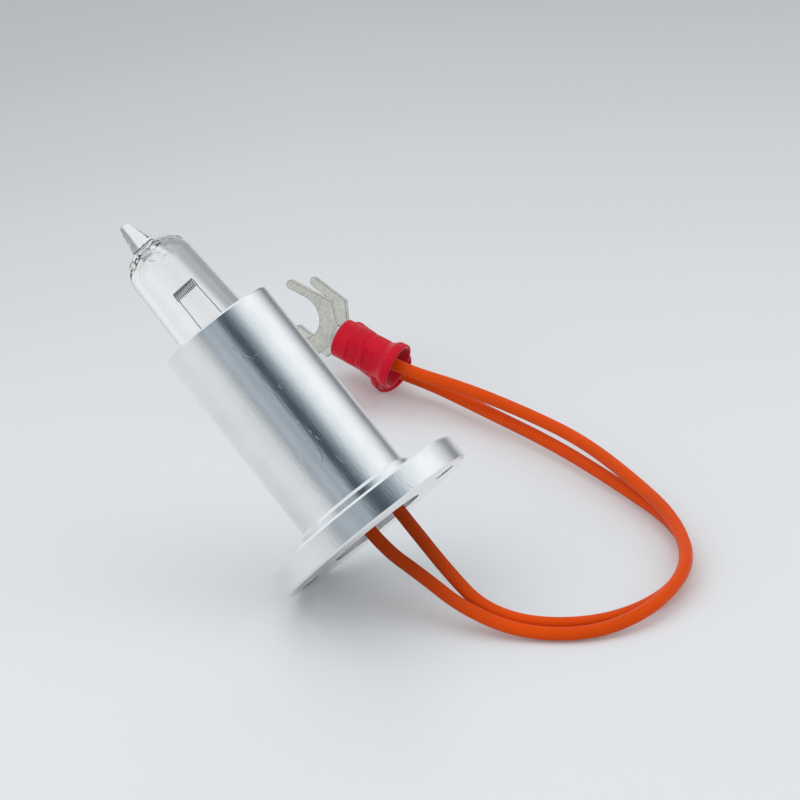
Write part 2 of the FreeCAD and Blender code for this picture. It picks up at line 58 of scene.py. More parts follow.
# Where things lie, the same numbers as the part's source, in millimetres and degrees

LAMP_LEAN = 47.61
LAMP_HEADING = 147.48
LAMP_SPIN = 220.0
FLANGE_FRONT = 3.5
CAPSULE_SHIFT = 0.415
CAPSULE_LEAN = -1.4
ROUTE_ORIGIN = (-10.562, 4.446)
LEAD_SEAT = 3.0
RUN_BELOW_FLANGE = -2.3
LAST_RUN = {"a": -0.8, "b": 0.6}
INSULATION_STOP = 4.2


def turn_y(degrees):
    return Matrix.Rotation(math.radians(degrees), 4, "Y")


def turn_z(degrees):
    return Matrix.Rotation(math.radians(degrees), 4, "Z")


LAMP_TURN = turn_z(LAMP_HEADING) @ turn_y(LAMP_LEAN) @ turn_z(LAMP_SPIN)
LAMP_AXIS = Vector(MOUNTS["screw_holes"]["axis"])
LAMP_FOOT = Vector(MOUNTS["screw_holes"]["pos_m"]) - LAMP_AXIS * FLANGE_FRONT * MM
LAMP = Matrix.Translation(LAMP_FOOT) @ LAMP_TURN
CAPSULE = LAMP @ Matrix.Translation((CAPSULE_SHIFT * MM, 0, 0)) @ turn_y(CAPSULE_LEAN)


def bench_point(x, y, z):
    """Point of the bench plan in millimetres, as a point of the row frame in metres."""
    return Vector(((x - ROUTE_ORIGIN[0]) * MM, (y - ROUTE_ORIGIN[1]) * MM, z * MM))


def terminal_place(mouth, heading, rise, roll):
    """Local Z runs from the sleeve's mouth to the fork, local X across the fork."""
    turned = turn_z(heading) @ turn_y(90.0 - rise) @ turn_z(180.0 - roll)
    return Matrix.Translation(bench_point(*mouth)) @ turned


TERMINALS = {
    "a": terminal_place((2.55, 56.34, 6.255), 151.7, 16.2, 0.0),
    "b": terminal_place((1.97, 61.60, 3.14), 132.6, 13.0, -10.0),
}
LEAD_ACROSS = {"a": -1.0, "b": 3.4}
LEAD_ROUTES = {
    "a": [
        (5.38, -2.70, 5.23), (10.69, -7.60, 2.97), (17.97, -10.21, 1.01), (26.94, -10.21, 1.05),
        (34.36, -4.89, 2.08), (38.99, 5.24, 2.69), (37.79, 17.03, 3.04), (32.67, 28.18, 3.37),
        (26.72, 38.32, 3.87), (20.03, 46.03, 4.02), (11.34, 53.10, 4.70),
    ],
    "b": [
        (9.04, -3.14, 5.42), (12.93, -6.88, 2.79), (19.27, -7.99, 1.04), (28.33, -6.76, 0.88),
        (35.81, 0.03, 0.89), (39.18, 9.23, 0.88), (38.34, 19.34, 0.97), (31.53, 29.89, 1.37),
        (23.49, 41.27, 1.73), (14.81, 51.49, 1.75), (7.14, 59.20, 2.31),
    ],
}


# Sizes and colours that a user would change

def size_property(name, description, millimetres):
    return FloatProperty(name=name, description=description, default=millimetres * MM,
                         unit="LENGTH", precision=5)


def colour_property(name, description, red, green, blue):
    return FloatVectorProperty(name=name, description=description, default=(red, green, blue), size=3,
                               subtype="COLOR", min=0.0, max=1.0)


class LampSizes(bpy.types.PropertyGroup):
    lead_diameter: size_property("Lead diameter", "Outside diameter of each insulated lead", 1.7)
    glass_wall: size_property("Glass wall", "Thickness of the quartz wall", 1.0)
    capsule_root: size_property("Capsule root", "Diameter of the capsule where it leaves the bore", 9.74)
    capsule_neck: size_property("Capsule neck", "Diameter of the capsule below its dome", 8.88)
    coil_wire: size_property("Coil wire", "Thickness of the filament wire", 0.145)
    coil_mean: size_property("Coil diameter", "Mean diameter of the filament coil", 1.08)
    coil_length: size_property("Coil length", "Length of the filament coil", 3.075)
    coil_turns: IntProperty(name="Coil turns", description="Turns of the filament coil", default=13, min=3)
    sleeve_length: size_property("Sleeve length", "Length of each red sleeve", 9.25)
    sleeve_mouth: size_property("Sleeve mouth", "Outside diameter at the flared mouth", 6.5)
    sleeve_waist: size_property("Sleeve waist", "Outside diameter at the rear crimp", 5.25)
    sleeve_body: size_property("Sleeve body", "Outside diameter over the fork's barrel", 5.4)
    sleeve_bore: size_property("Sleeve bore", "Inside diameter over the fork's barrel", 3.3)
    crimp_flat: size_property("Crimp flat", "Thickness across the pressed flats", 4.5)


class LampColours(bpy.types.PropertyGroup):
    aluminium: colour_property("Aluminium", "Turned aluminium of the housing", 0.82, 0.84, 0.86)
    quartz: colour_property("Quartz", "Clear quartz of the capsule", 0.985, 0.995, 1.0)
    tungsten: colour_property("Tungsten", "Drawn tungsten of the coil", 0.26, 0.265, 0.265)
    compound: colour_property("Compound", "Set potting and cement", 0.74, 0.73, 0.71)
    lead: colour_property("Lead", "Orange insulation", 0.74, 0.074, 0.002)
    sleeve: colour_property("Sleeve", "Red sleeve of the terminals", 0.60, 0.004, 0.022)
    tin: colour_property("Tin", "Tin plate of the forks", 0.66, 0.66, 0.61)
    copper: colour_property("Copper", "Bare conductor in the fork's barrel", 0.72, 0.36, 0.20)


class LampStage(bpy.types.PropertyGroup):
    elevation: FloatProperty(name="Camera elevation", description="Height angle of the camera over the bench",
                             default=math.radians(25.0), subtype="ANGLE")
    lens: FloatProperty(name="Lens", description="Focal length on a 36 mm sensor", default=207.0,
                        unit="CAMERA")
    camera_x: size_property("Camera X", "Place of the camera along X", 13.338)
    camera_y: size_property("Camera Y", "Place of the camera along Y", -509.976)
    camera_z: size_property("Camera Z", "Height of the camera", 263.40)
    floor: colour_property("Floor", "Pale bench under the lamp", 0.777, 0.830, 0.856)


# Mesh helpers

def place(points, matrix):
    """Points in local millimetres carried through a placement, in row metres."""
    turn = np.array(matrix.to_3x3())
    shift = np.array(matrix.translation)
    return (np.asarray(points, float) * MM) @ turn.T + shift


def ring_faces(rows, around, close_rows=False, inward=False):
    """Quads between each ring of a grid and the next; a ring turns left about the way the rings advance."""
    index = np.arange(rows * around).reshape(rows, around)
    below = index if close_rows else index[:-1]
    above = np.roll(index, -1, axis=0) if close_rows else index[1:]
    quads = np.stack([below, np.roll(below, -1, axis=1), np.roll(above, -1, axis=1), above], axis=-1)
    quads = quads.reshape(-1, 4)
    return quads[:, ::-1] if inward else quads


def fan_faces(ring, pole, top, inward=False):
    """Triangles from one ring to a pole, facing away from the body of the surface."""
    ahead = np.roll(ring, -1)
    fan = np.stack([ring, ahead, np.full_like(ring, pole)], axis=-1)
    return fan[:, ::-1] if top == inward else fan


def closed_skin(rings, inward=False):
    """Vertices and faces of rings closed at both ends by a pole at the end ring's middle."""
    rows, around = rings.shape[:2]
    poles = np.stack([rings[0].mean(axis=0), rings[-1].mean(axis=0)])
    points = np.concatenate([rings.reshape(-1, 3), poles])
    count = rows * around
    faces = ring_faces(rows, around, inward=inward).tolist()
    faces += fan_faces(np.arange(around), count, False, inward).tolist()
    faces += fan_faces(np.arange(count - around, count), count + 1, True, inward).tolist()
    return points, faces


def make_piece(name, parts, material, body="root"):
    """One smooth mesh object from lists of points and faces in the row frame."""
    points = []
    faces = []
    for some_points, some_faces in parts:
        start = len(points)
        points += np.asarray(some_points).tolist()
        faces += [[start + corner for corner in face] for face in some_faces]
    mesh = bpy.data.meshes.new(name)
    mesh.from_pydata(points, [], faces)
    mesh.polygons.foreach_set("use_smooth", np.ones(len(mesh.polygons), bool))
    mesh.update()
    piece = bpy.data.objects.new(name, mesh)
    bpy.context.scene.collection.objects.link(piece)
    piece.data.materials.append(material)
    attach(piece, body)
    return piece


def smooth_step(value, low, high):
    """0 below low, 1 above high, and a smooth cubic between."""
    share = np.clip((value - low) / (high - low), 0.0, 1.0)
    return share * share * (3.0 - 2.0 * share)


def bump_at(value, centre, width):
    """A bell of height 1 at a centre, falling away over a width."""
    return np.exp(-((value - centre) / width) ** 2)


def turned_offset(angle, centre):
    """Angle from a centre, wrapped to plus or minus half a turn."""
    return (angle - centre + math.pi) % (2 * math.pi) - math.pi


# Shader helpers

def new_material(name):
    material = bpy.data.materials.new(name)
    material.use_nodes = True
    nodes = material.node_tree.nodes
    shader = nodes["Principled BSDF"]
    return material, nodes, material.node_tree.links, shader


def node(nodes, kind, **settings):
    item = nodes.new(kind)
    for key, value in settings.items():
        setattr(item, key, value)
    return item


def group_sockets(tree, inputs, outputs):
    for name, kind, default in inputs:
        socket = tree.interface.new_socket(name=name, in_out="INPUT", socket_type=kind)
        if default is not None:
            socket.default_value = default
    for name, kind in outputs:
        tree.interface.new_socket(name=name, in_out="OUTPUT", socket_type=kind)


def math_node(nodes, links, operation, first, second=None, clamp=False):
    item = node(nodes, "ShaderNodeMath", operation=operation, use_clamp=clamp)
    for socket, value in zip(item.inputs, (first, second)):
        if value is None:
            continue
        if isinstance(value, (int, float)):
            socket.default_value = value
        else:
            links.new(value, socket)
    return item.outputs[0]


def handled_surface_group():
    """Faint cloud of handling marks and fine grain: one value for tone and one for height."""
    tree = bpy.data.node_groups.new("handled_surface", "ShaderNodeTree")
    group_sockets(tree, [
        ("Vector", "NodeSocketVector", None),
        ("Cloud Scale", "NodeSocketFloat", 120.0),
        ("Grain Scale", "NodeSocketFloat", 2500.0),
        ("Grain Share", "NodeSocketFloat", 0.4),
    ], [("Value", "NodeSocketFloat"), ("Grain", "NodeSocketFloat")])
    nodes = tree.nodes
    links = tree.links
    entry = nodes.new("NodeGroupInput")
    leave = nodes.new("NodeGroupOutput")
    cloud = node(nodes, "ShaderNodeTexNoise")
    cloud.inputs["Detail"].default_value = 3.0
    grain = node(nodes, "ShaderNodeTexNoise")
    grain.inputs["Detail"].default_value = 2.0
    links.new(entry.outputs["Vector"], cloud.inputs["Vector"])
    links.new(entry.outputs["Cloud Scale"], cloud.inputs["Scale"])
    links.new(entry.outputs["Vector"], grain.inputs["Vector"])
    links.new(entry.outputs["Grain Scale"], grain.inputs["Scale"])
    mix = node(nodes, "ShaderNodeMix", data_type="FLOAT")
    links.new(entry.outputs["Grain Share"], mix.inputs["Factor"])
    links.new(cloud.outputs["Fac"], mix.inputs["A"])
    links.new(grain.outputs["Fac"], mix.inputs["B"])
    links.new(mix.outputs["Result"], leave.inputs["Value"])
    links.new(grain.outputs["Fac"], leave.inputs["Grain"])
    return tree


def object_coordinates(nodes):
    return node(nodes, "ShaderNodeTexCoord").outputs["Object"]


def local_coordinates(nodes, links, matrix):
    """Object coordinates carried into a placement's own axes."""
    mapping = node(nodes, "ShaderNodeMapping", vector_type="TEXTURE")
    mapping.inputs["Location"].default_value = matrix.translation
    mapping.inputs["Rotation"].default_value = matrix.to_euler("XYZ")
    links.new(object_coordinates(nodes), mapping.inputs["Vector"])
    return mapping.outputs["Vector"]


def stretched(nodes, links, vector, scale, turn=(0.0, 0.0, 0.0)):
    """A vector turned and scaled, so that a pattern on it stretches."""
    mapping = node(nodes, "ShaderNodeMapping")
    mapping.inputs["Scale"].default_value = scale
    mapping.inputs["Rotation"].default_value = turn
    links.new(vector, mapping.inputs["Vector"])
    return mapping.outputs["Vector"]


def texture_at(nodes, links, kind, vector, scale, **settings):
    item = node(nodes, kind, **settings)
    item.inputs["Scale"].default_value = scale
    links.new(vector, item.inputs["Vector"])
    return item


def map_range(nodes, links, value, first, last, low=0.0, high=1.0, smooth=False):
    """A value carried from first and last to low and high, on a straight or a smooth way."""
    item = node(nodes, "ShaderNodeMapRange", interpolation_type="SMOOTHSTEP" if smooth else "LINEAR")
    for name, number in (("From Min", first), ("From Max", last), ("To Min", low), ("To Max", high)):
        item.inputs[name].default_value = number
    links.new(value, item.inputs["Value"])
    return item.outputs["Result"]


def mix_colour(nodes, links, share, first, second):
    """Colour from the first to the second by a share; each is a socket or a plain colour."""
    item = node(nodes, "ShaderNodeMix", data_type="RGBA")
    links.new(share, item.inputs["Factor"])
    for name, colour in (("A", first), ("B", second)):
        if isinstance(colour, tuple):
            item.inputs[name].default_value = (*colour, 1.0)
        else:
            links.new(colour, item.inputs[name])
    return item.outputs["Result"]


def colour_ramp(nodes, links, factor, stops):
    """A Color Ramp node with a stop at each position and colour."""
    ramp = node(nodes, "ShaderNodeValToRGB")
    elements = ramp.color_ramp.elements
    while len(elements) < len(stops):
        elements.new(0.5)
    for element, (position, colour) in zip(elements, stops):
        element.position = position
        element.color = (*colour, 1.0)
    links.new(factor, ramp.inputs["Fac"])
    return ramp


def add_bump(nodes, links, shader, height, strength, distance, under=None):
    """Bump as a shader's normal, laid over another bump's normal where one is given."""
    bump = node(nodes, "ShaderNodeBump")
    bump.inputs["Strength"].default_value = strength
    bump.inputs["Distance"].default_value = distance
    links.new(height, bump.inputs["Height"])
    if under is not None:
        links.new(under, bump.inputs["Normal"])
    links.new(bump.outputs["Normal"], shader.inputs["Normal"])
    return bump.outputs["Normal"]


def shade(colour, share):
    return tuple(min(1.0, channel * share) for channel in colour)


# range of the handled surface's value over which tone and roughness change
MARKS_LOW = 0.3
MARKS_HIGH = 0.7


def handled_finish(nodes, links, shader, surface, vector, colour, scales, tones, roughness):
    """Base colour and roughness that follow the handled surface; gives the colour and the grain.

    scales are the clouds' scale, the grain's scale and the grain's share; tones are the shares of
    the colour at the darkest and the lightest marks, and roughness its values there.
    """
    marks = node(nodes, "ShaderNodeGroup", node_tree=surface)
    for name, value in zip(("Cloud Scale", "Grain Scale", "Grain Share"), scales):
        marks.inputs[name].default_value = value
    links.new(vector, marks.inputs["Vector"])
    stops = [(MARKS_LOW, shade(colour, tones[0])), (MARKS_HIGH, shade(colour, tones[1]))]
    base = colour_ramp(nodes, links, marks.outputs["Value"], stops).outputs["Color"]
    links.new(base, shader.inputs["Base Color"])
    rough = map_range(nodes, links, marks.outputs["Value"], MARKS_LOW, MARKS_HIGH, *roughness)
    links.new(rough, shader.inputs["Roughness"])
    return base, marks.outputs["Grain"]


# Materials

def turned_aluminium(colour, surface):
    """Satin lathe-turned aluminium: fine rings round the lamp's axis, streaks along it, nicks, scratches."""
    material, nodes, links, shader = new_material("turned_aluminium")
    vector = local_coordinates(nodes, links, LAMP)
    handled_finish(nodes, links, shader, surface, vector, colour,
                   scales=(220.0, 3000.0, 0.15), tones=(0.93, 1.03), roughness=(0.14, 0.19))
    shader.inputs["Metallic"].default_value = 1.0
    parts = node(nodes, "ShaderNodeSeparateXYZ")
    links.new(vector, parts.inputs["Vector"])
    rings = node(nodes, "ShaderNodeTexNoise", noise_dimensions="1D")
    rings.inputs["Scale"].default_value = 9000.0
    rings.inputs["Detail"].default_value = 2.0
    links.new(parts.outputs["Z"], rings.inputs["W"])
    low_rings = math_node(nodes, links, "MULTIPLY", rings.outputs["Fac"], 0.35)
    normal = add_bump(nodes, links, shader, low_rings, strength=0.12, distance=0.00004)
    along = stretched(nodes, links, vector, (1.0, 1.0, 0.22))
    streaks = texture_at(nodes, links, "ShaderNodeTexNoise", along, scale=3300.0)
    streaks.inputs["Detail"].default_value = 4.0
    normal = add_bump(nodes, links, shader, streaks.outputs["Fac"],
                      strength=0.2, distance=0.00006, under=normal)
    marred = stretched(nodes, links, vector, (1.0, 1.0, 0.45), turn=(0.5, 0.3, 0.2))
    nicks = texture_at(nodes, links, "ShaderNodeTexVoronoi", marred, scale=600.0)
    surround = map_range(nodes, links, nicks.outputs["Distance"], first=0.02, last=0.075)
    cells = texture_at(nodes, links, "ShaderNodeTexVoronoi", marred, scale=300.0, feature="DISTANCE_TO_EDGE")
    lines = map_range(nodes, links, cells.outputs["Distance"], first=0.0, last=0.022, low=1.0, high=0.0)
    patches = texture_at(nodes, links, "ShaderNodeTexNoise", vector, scale=520.0)
    patches.inputs["Detail"].default_value = 1.0
    here = math_node(nodes, links, "GREATER_THAN", patches.outputs["Fac"], 0.60)
    scratches = math_node(nodes, links, "MULTIPLY", lines, here)
    marks = math_node(nodes, links, "SUBTRACT", surround, scratches)
    add_bump(nodes, links, shader, marks, strength=0.24, distance=0.00005, under=normal)
    return material


def clear_quartz(colour):
    """Clear fused quartz."""
    material, _, _, shader = new_material("clear_quartz")
    shader.inputs["Base Color"].default_value = (*colour, 1.0)
    shader.inputs["Roughness"].default_value = 0.0
    shader.inputs["IOR"].default_value = 1.458
    shader.inputs["Transmission Weight"].default_value = 1.0
    return material


def drawn_tungsten(name, colour, surface):
    """Drawn wire, grey with a soft metal shine."""
    material, nodes, links, shader = new_material(name)
    _, grain = handled_finish(nodes, links, shader, surface, object_coordinates(nodes), colour,
                              scales=(4000.0, 16000.0, 0.5), tones=(0.8, 1.2), roughness=(0.28, 0.42))
    shader.inputs["Metallic"].default_value = 1.0
    add_bump(nodes, links, shader, grain, strength=0.2, distance=0.00001)
    return material


def set_compound(colour, surface):
    """Pale set potting and cement: matte, with small pores."""
    material, nodes, links, shader = new_material("set_compound")
    vector = object_coordinates(nodes)
    _, grain = handled_finish(nodes, links, shader, surface, vector, colour,
                              scales=(400.0, 3500.0, 0.5), tones=(0.82, 1.08), roughness=(0.75, 0.9))
    pores = texture_at(nodes, links, "ShaderNodeTexVoronoi", vector, scale=2200.0)
    height = math_node(nodes, links, "ADD", pores.outputs["Distance"], grain)
    add_bump(nodes, links, shader, height, strength=0.6, distance=0.00008)
    return material


# place on the lamp from which painted shade, standing in for the flange's shadow, darkens the leads, in
# millimetres, and the distances from it at which the painted shade starts to fade and has gone, in metres
SHADED_FROM = (1.2, 0.0, 0.0)
SHADE_REACH = (0.004, 0.021)


def lead_insulation(colour, surface):
    """Orange silicone insulation: satin, faintly mottled, with painted shade beside the lamp standing in for
    the flange's shadow.
    """
    material, nodes, links, shader = new_material("lead_insulation")
    vector = object_coordinates(nodes)
    unshaded, grain = handled_finish(nodes, links, shader, surface, vector, colour,
                                  scales=(90.0, 2600.0, 0.3), tones=(0.88, 1.08), roughness=(0.36, 0.5))
    # painted shade: the colour darkens towards the lead's exit from the lamp, where the flange shades it
    reach = node(nodes, "ShaderNodeVectorMath", operation="DISTANCE")
    reach.inputs[1].default_value = LAMP @ (Vector(SHADED_FROM) * MM)
    links.new(vector, reach.inputs[0])
    near = map_range(nodes, links, reach.outputs["Value"], *SHADE_REACH, low=0.62, high=0.0, smooth=True)
    links.new(mix_colour(nodes, links, near, unshaded, shade(colour, 0.22)), shader.inputs["Base Color"])
    shader.inputs["Specular IOR Level"].default_value = 0.09
    add_bump(nodes, links, shader, grain, strength=0.15, distance=0.00003)
    return material


def sleeve_plastic(colour, surface):
    """Crimson moulded sleeve: a soft gloss, with faint flow marks."""
    material, nodes, links, shader = new_material("sleeve_plastic")
    _, grain = handled_finish(nodes, links, shader, surface, object_coordinates(nodes), colour,
                              scales=(300.0, 2200.0, 0.3), tones=(0.85, 1.1), roughness=(0.22, 0.34))
    shader.inputs["Specular IOR Level"].default_value = 0.14
    add_bump(nodes, links, shader, grain, strength=0.15, distance=0.00004)
    return material


def tin_plate(colour, surface):
    """Matte tin plate on a stamped fork: speckled grey, with painted shade in a thin dark line along every cut
    edge.
    """
    material, nodes, links, shader = new_material("tin_plate")
    plate, grain = handled_finish(nodes, links, shader, surface, object_coordinates(nodes), colour,
                                  scales=(500.0, 3000.0, 0.55), tones=(0.70, 1.2), roughness=(0.34, 0.5))
    # painted shade: the colour darkens in a thin line along each edge, where the bevel's normal turns from the
    # face's
    softened = node(nodes, "ShaderNodeBevel", samples=8)
    softened.inputs["Radius"].default_value = 0.00016
    face = node(nodes, "ShaderNodeNewGeometry")
    facing = node(nodes, "ShaderNodeVectorMath", operation="DOT_PRODUCT")
    links.new(softened.outputs["Normal"], facing.inputs[0])
    links.new(face.outputs["True Normal"], facing.inputs[1])
    edge = map_range(nodes, links, facing.outputs["Value"], first=0.999, last=0.94, smooth=True)
    links.new(mix_colour(nodes, links, edge, plate, shade(colour, 0.34)), shader.inputs["Base Color"])
    shader.inputs["Metallic"].default_value = 1.0
    add_bump(nodes, links, shader, grain, strength=0.35, distance=0.00004)
    return material


def bare_copper(colour, surface):
    """Bare stranded conductor, dull copper."""
    material, nodes, links, shader = new_material("bare_copper")
    handled_finish(nodes, links, shader, surface, object_coordinates(nodes), colour,
                   scales=(600.0, 4000.0, 0.5), tones=(0.8, 1.1), roughness=(0.3, 0.45))
    shader.inputs["Metallic"].default_value = 1.0
    return material


# the bench's tone against distance from the lamp in metres, out to its reach: painted light, a pool of light
# that falls off away from the lamp
BENCH_REACH = 0.6
BENCH_LIGHT_FALL = [
    (0.0, 0.985), (0.05, 0.95), (0.10, 0.865), (0.15, 0.755), (0.20, 0.624), (0.26, 0.505), (0.60, 0.40),
]
# share of X that counts as distance, over the whole bench and again on the left of the lamp, where the painted
# fall of light darkens it more
BENCH_ACROSS = -0.2
BENCH_LEFT = -0.45
# painted reflection: a paler tone that reflected and refracted rays see mixed in, with each one's share
BENCH_PALE = (0.93, 0.93, 0.91)
BENCH_PALE_SHARES = (("Is Glossy Ray", 0.38), ("Is Transmission Ray", 0.34))
# metres to the right and back where the bench, seen through the quartz, begins to take the dimmer room's tone
# as painted shade, and where it shows only that
BENCH_BEYOND = (0.040, 0.070)


def pale_bench(colour):
    """Pale smooth bench with a blurred gloss: painted light that darkens it with distance, paler as a painted
    reflection, and greyer through the quartz as painted shade.
    """
    material, nodes, links, shader = new_material("pale_bench")
    parts = node(nodes, "ShaderNodeSeparateXYZ")
    links.new(object_coordinates(nodes), parts.inputs["Vector"])
    right, back = parts.outputs["X"], parts.outputs["Y"]
    left = math_node(nodes, links, "MULTIPLY", math_node(nodes, links, "MINIMUM", right, 0.0), BENCH_LEFT)
    across = math_node(nodes, links, "MULTIPLY", right, BENCH_ACROSS)
    away = math_node(nodes, links, "ADD", back, math_node(nodes, links, "ADD", left, across))
    away = math_node(nodes, links, "DIVIDE", away, BENCH_REACH, clamp=True)
    # painted light: the ramp makes the bench darker the farther it lies from the lamp
    stops = [(distance / BENCH_REACH, shade(colour, share)) for distance, share in BENCH_LIGHT_FALL]
    fall = colour_ramp(nodes, links, away, stops)
    fall.color_ramp.interpolation = "CARDINAL"
    lit = fall.outputs["Color"]
    rays = node(nodes, "ShaderNodeLightPath")
    # painted reflection: the bench looks paler to glossy and transmission rays than to the camera
    for kind, share in BENCH_PALE_SHARES:
        seen = math_node(nodes, links, "MULTIPLY", rays.outputs[kind], share)
        lit = mix_colour(nodes, links, seen, lit, BENCH_PALE)
    # painted shade: seen through the quartz, the bench right of and behind the lamp turns to the dimmer room's
    # grey
    beside = math_node(nodes, links, "ADD", right, math_node(nodes, links, "MULTIPLY", back, 0.5))
    beyond = map_range(nodes, links, beside, *BENCH_BEYOND, smooth=True)
    through = math_node(nodes, links, "MULTIPLY", beyond, rays.outputs["Is Transmission Ray"])
    links.new(mix_colour(nodes, links, through, lit, STUDIO_BEYOND), shader.inputs["Base Color"])
    shader.inputs["Roughness"].default_value = 0.32
    shader.inputs["Specular IOR Level"].default_value = 0.5
    return material


class Finishes:
    """The materials of the lamp, each made once when first asked for."""

    made = {}

    @classmethod
    def get(cls, name):
        if name not in cls.made:
            colours = bpy.context.scene.lamp_colours
            stage = bpy.context.scene.lamp_stage
            if "surface" not in cls.made:
                cls.made["surface"] = handled_surface_group()
            surface = cls.made["surface"]
            makers = {
                "turned_aluminium": lambda: turned_aluminium(tuple(colours.aluminium), surface),
                "clear_quartz": lambda: clear_quartz(tuple(colours.quartz)),
                "drawn_tungsten": lambda: drawn_tungsten("drawn_tungsten", tuple(colours.tungsten), surface),
                "plain_tungsten": lambda: drawn_tungsten("plain_tungsten", shade(colours.tungsten, 1.25),
                                                         surface),
                "set_compound": lambda: set_compound(tuple(colours.compound), surface),
                "lead_insulation": lambda: lead_insulation(tuple(colours.lead), surface),
                "sleeve_plastic": lambda: sleeve_plastic(tuple(colours.sleeve), surface),
                "tin_plate": lambda: tin_plate(tuple(colours.tin), surface),
                "bare_copper": lambda: bare_copper(tuple(colours.copper), surface),
                "pale_bench": lambda: pale_bench(tuple(stage.floor)),
            }
            cls.made[name] = makers[name]()
        return cls.made[name]


def dress(node_name, finish):
    """Give a CAD node its material."""
    piece = frame["nodes"][node_name]
    piece.data.materials.clear()
    piece.data.materials.append(Finishes.get(finish))


# Shapes

SEGMENTS = 96

# Quartz capsule: heights along its axis and half widths in millimetres, the dome's bend in radians and
# the stem's lean in degrees

RING_GAP = 0.2
PINCH_FOOT = 19.0
PINCH_TOP = 28.2
PINCH_HALF_WIDE = 4.2
PINCH_HALF_DEEP = 1.4
PINCH_ROUND = 30.4
ROOT_HEIGHT = 31.0
WALL_TOP = 41.8
DOME_RISE = 3.6
DOME_BEND = 1.20
STEM_FOOT = 45.16
STEM_RISE = 3.84
STEM_ROOT = 1.50
STEM_TAPER = 0.82
STEM_LEAN = 3.4
CAVITY_DROP = 1.6
CAVITY_RISE = 2.6
# ripples of the melted dome: height, waves round, turn with height, phase, middle height and spread
DOME_RIPPLES = [
    (0.06, 5, 0, 0.7, 44.4, 0.55),
    (0.04, 11, 0, 2.1, 44.4, 0.55),
    (0.045, 9, 7, 0.0, 44.4, 0.8),
    (0.035, 14, -9, 1.3, 44.6, 0.8),
    (0.04, 7, -5, 0.0, 43.6, 0.5),
    (0.03, 3, 0, 0.4, 46.4, 0.9),
]
CAVITY_RIPPLES = [(0.09, 6, 0, 2.0, 43.6, 0.5), (0.05, 10, 0, 0.0, 43.6, 0.5)]
# dent beside the tip: depth, angle and its spread, height and its spread
TIP_DENT = (0.16, 3.55, 0.30, 47.4, 0.75)


def ripples(rows, angle, z):
    """Sum of height x sin(waves x angle + turn x z + phase), each within a bell about its middle."""
    return sum(height * np.sin(waves * angle + turn * z + phase) * bump_at(z, middle, spread)
               for height, waves, turn, phase, middle, spread in rows)


def wall_cone(root, neck, height):
    """Radius of the tapering wall, from the root up to the neck."""
    return root + (neck - root) * (height - ROOT_HEIGHT) / (WALL_TOP - ROOT_HEIGHT)


def capsule_outside(sizes):
    """Outer glass from the pinch seal to the exhaust tip.

    Each ring is a superellipse whose half widths and squareness change with height: flat and
    square at the pinch, round from the root up. The wall tapers, the dome is a quarter ellipse
    and the tip a narrowing stem on a leaning line, with low lumps where it was melted off.
    """
    angle = np.linspace(0.0, 2 * math.pi, SEGMENTS, endpoint=False)[None, :]
    root = sizes.capsule_root / MM / 2
    neck = sizes.capsule_neck / MM / 2
    flat = np.linspace(PINCH_FOOT, PINCH_TOP, 12)
    pinch = np.concatenate([flat, np.linspace(PINCH_TOP + RING_GAP, ROOT_HEIGHT, 24)])
    swell = smooth_step(pinch, PINCH_TOP, ROOT_HEIGHT - RING_GAP) ** 0.6
    wide = PINCH_HALF_WIDE + (root - PINCH_HALF_WIDE) * swell
    deep = PINCH_HALF_DEEP + (root - PINCH_HALF_DEEP) * swell
    square = 2.0 + 6.0 * (1.0 - smooth_step(pinch, PINCH_TOP, PINCH_ROUND))
    wall = np.linspace(ROOT_HEIGHT + RING_GAP, WALL_TOP - RING_GAP, 40)
    wall_radius = wall_cone(root, neck, wall)
    bend = np.linspace(0.02, DOME_BEND, 36)
    dome = WALL_TOP + DOME_RISE * np.sin(bend)
    dome_radius = neck * np.cos(bend)
    rise = np.linspace(0.0, 1.0, 34)[1:]
    stem = STEM_FOOT + STEM_RISE * rise
    stem_radius = STEM_ROOT - STEM_TAPER * np.minimum(rise / 0.95, 1.0)
    stem_radius = stem_radius + (dome_radius[-1] - STEM_ROOT) * (1 - rise) ** 6
    stem_radius = stem_radius * np.sqrt(np.clip(1.0 - smooth_step(rise, 0.91, 1.0) ** 2 * 0.97, 0.0, 1.0))
    above = np.concatenate([wall_radius, dome_radius, stem_radius])
    half_x = np.concatenate([wide, above])[:, None]
    half_y = np.concatenate([deep, above])[:, None]
    power = np.concatenate([square, np.full(len(above), 2.0)])[:, None]
    c = np.cos(angle)
    s = np.sin(angle)
    x = half_x * np.sign(c) * np.abs(c) ** (2.0 / power)
    y = half_y * np.sign(s) * np.abs(s) ** (2.0 / power)
    z = np.concatenate([pinch, wall, dome, stem])[:, None] + 0.0 * angle
    depth, where, width, middle, spread = TIP_DENT
    dent = depth * bump_at(turned_offset(angle, where), 0.0, width) * bump_at(z, middle, spread)
    out = 1.0 + (ripples(DOME_RIPPLES, angle, z) - dent) / np.maximum(half_x, 1.2)
    lean = -0.3 * smooth_step(z, 43.5, 45.3) - math.tan(math.radians(STEM_LEAN)) * np.clip(z - 44.8, 0.0, None)
    return np.stack([x * out + lean, y * out, z], axis=-1)


